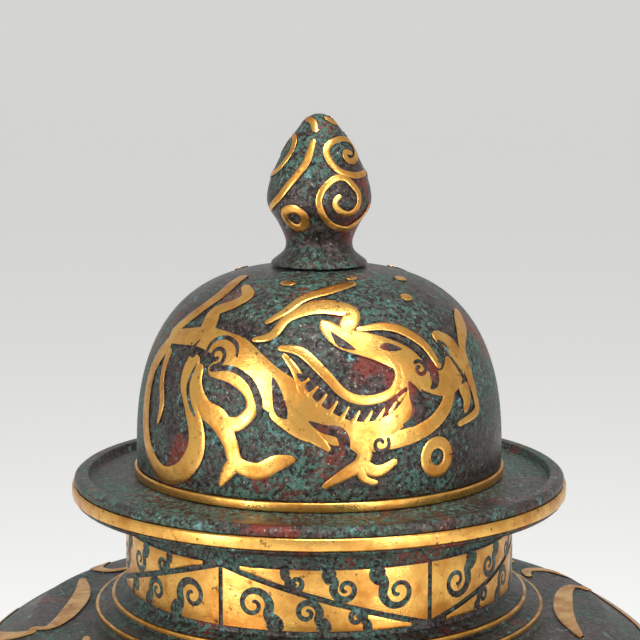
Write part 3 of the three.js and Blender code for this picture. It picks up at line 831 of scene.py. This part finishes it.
def triangle_rows(start, from_left, upper):
    """Rows of a long triangle that leaves half the channel free along its slanting side."""
    tip = 1 - (CHANNEL / 2 + TIP_H) / VOLUTE_H
    rows = []
    for i in range(TRIANGLE_ROWS + 1):
        share = tip * i / TRIANGLE_ROWS
        height = VOLUTE_H * (1 - share) - CHANNEL / 2
        middle = VOLUTE_H - height / 2 if upper else height / 2
        across = (0, -1 if from_left else 1)
        rows.append(((across_panel(start, from_left, share), middle), across, height / 2))
    return rows


def volute_points(middle_deg, middle_up, radius, mouth, hand, flip):
    """A dark scroll: thin at its eye, widening as it winds out, down to the triangle's long side."""
    per_degree = math.radians(NECK_R)
    base = 0 if flip > 0 else VOLUTE_H
    points = []
    for i in range(SCROLL_POINTS + 1):
        share = i / SCROLL_POINTS
        angle = math.radians(EYE_ANGLE - WINDING * share)
        reach = radius * (EYE_SHARE + (1 - EYE_SHARE) * share)
        width = EYE_WIDTH * (1 + 0.6 * share) + (mouth * 0.5 - EYE_WIDTH) * share ** 6
        points.append((middle_deg + hand * reach * math.cos(angle) / per_degree,
                       middle_up + flip * reach * math.sin(angle), width))
    points.append((middle_deg + hand * radius * 1.2 / per_degree, base + flip * 1.7, mouth))
    points.append((middle_deg + hand * radius * 1.3 / per_degree, base - flip * 0.5, mouth * 1.3))
    return points


for panel in range(PANELS):
    start = FIRST_PANEL_DEG + panel * PANEL_DEG
    for part, upper in (("lower", False), ("upper", True)):
        from_left = (panel % 2 == 0) != upper
        hand = 1 if from_left else -1
        flip = -1 if upper else 1
        place_name = f"{panel + 1}_{part}"
        inlay(f"neck_gold_{place_name}", neck_surface, triangle_rows(start, from_left, upper), gold,
              "jar", [f"neck_volute_{place_name}"])
        for i, (share, height, radius, mouth) in enumerate(SCROLLS):
            middle_deg = across_panel(start, from_left, share)
            middle_up = VOLUTE_H - height if upper else height
            points = volute_points(middle_deg, middle_up, radius, mouth, hand, flip)
            dark_stroke(f"neck_scroll_{place_name}_{i + 1}", neck_surface, points, 0, "jar", jar_patina)
print("neck panels:", PANELS)

# %% [markdown]
# Gold wire crosses the knob: two spirals on the right, a ring on the left, two bands that sweep up over the
# bud and two short ones at its tip. The same is guessed behind. Wire could be a bevelled curve, but the same
# flat strokes as on the dome keep the polished, level look of inlay.

# %% Knob wires
knob_surface = surface_of(knob_outer)
WIRE_STEPS = 5
WIRES = {
    "upper_spiral": [(60, 30, 1), (45, 30.5, 1.2), (42, 29, 1.3), (51, 28, 1.3), (68, 29, 1.3),
                     (84, 31.5, 1.3), (72, 33.5, 1.3), (46, 34, 1.3), (21, 33, 1.3), (11, 31, 1.3),
                     (16, 28, 1.3), (25, 26, 1.3), (37, 25, 1.3), (52, 24.5, 1.3), (80, 25, 1.3)],
    "lower_spiral": [(24, 20, 0.9), (18, 19, 1.1), (18, 17.5, 1.2), (26, 16, 1.2), (37, 15.5, 1.2),
                     (46, 17, 1.2), (48, 20, 1.2), (42, 22, 1.3), (32, 24, 1.3), (19, 24, 1.3), (6, 22, 1.3),
                     (0, 19.5, 1.3), (1, 17, 1.3), (8, 14, 1.3), (20, 12, 1.2), (41, 11, 1.2), (56, 12, 1.2),
                     (67, 14, 1.1), (73, 17.5, 1)],
    "sweep": [(-72, 16, 1), (-50, 19, 1.5), (-38, 22, 1.6), (-27, 25, 1.6), (-18, 28, 1.6), (-14, 31, 1.5),
              (-11, 34, 1)],
    "ring": spiral_points(knob_surface, (-31, 14), 2.7, 2.7, 1, 0, 2),
    "second_sweep": [(-88, 24, 0.9), (-66, 25.5, 1.2), (-55, 28, 1.3), (-49, 31, 1.3), (-57, 34, 1.3),
                     (-80, 35, 0.9)],
    "tip_left": [(-68, 40, 1.2), (-22, 39, 1.4), (-8, 36, 1.2)],
    "tip_right": [(28, 40.5, 1.2), (69, 38, 1.2)],
}
for side, turned_by in SIDES:
    for wire, points in WIRES.items():
        node_name = f"{side}_knob_{wire}"
        stands_for = [node_name] if node_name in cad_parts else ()
        gold_stroke(f"{side}_wire_{wire}", knob_surface, points, turned_by, "lid", stands_for,
                    per_point=WIRE_STEPS, round_ends=wire != "ring")
print("knob wires on each side:", len(WIRES))

# %% [markdown]
# Broad scrolls run round the shoulder. Only the uppermost gold shows in the photograph, so the rest is an
# ordinary cloud scroll. Each piece could be placed for itself, but such borders repeat. So one group of a
# scroll, a cloud, a leaf and a curl is laid six times, a sixth of a turn apart.

# %% Shoulder scrolls
SHOULDER_SCROLLS, FIRST_SCROLL_DEG = 6, 30
SCROLL = [(-17, 38, 2), (-21, 34, 2.6), (-22, 28, 3), (-16, 23, 4), (-8, 25, 5.4), (0, 30, 6),
          (8, 36, 5.4), (16, 39, 4), (23, 36, 3), (23, 29, 2.6), (18, 26, 2)]
SMALL_PIECES = {
    "cloud": [(-12, 52, 1.4), (-6, 48, 3), (2, 50, 3.6), (10, 56, 3), (16, 62, 1.2)],
    "leaf": [(-22, 66, 1.4), (-13, 70.5, 3.6), (-3, 72, 4.6), (8, 70, 4.2), (15, 65.5, 2.6), (13, 61, 1.2)],
    "curl": [(25, 72, 1.2), (30, 69, 2.6), (29, 63.5, 3), (23, 60, 2.4), (20, 56, 1.2)],
}
shoulder_surface = surface_of(belly_above)
for i in range(SHOULDER_SCROLLS):
    turned_by = FIRST_SCROLL_DEG + i * 360 / SHOULDER_SCROLLS
    gold_stroke(f"shoulder_gold_{i + 1}", shoulder_surface, SCROLL, turned_by, "jar",
                [f"shoulder_scroll_{i + 1}"])
    for part, points in SMALL_PIECES.items():
        gold_stroke(f"shoulder_gold_{part}_{i + 1}", shoulder_surface, points, turned_by, "jar")
print("shoulder pieces:", SHOULDER_SCROLLS * (1 + len(SMALL_PIECES)))
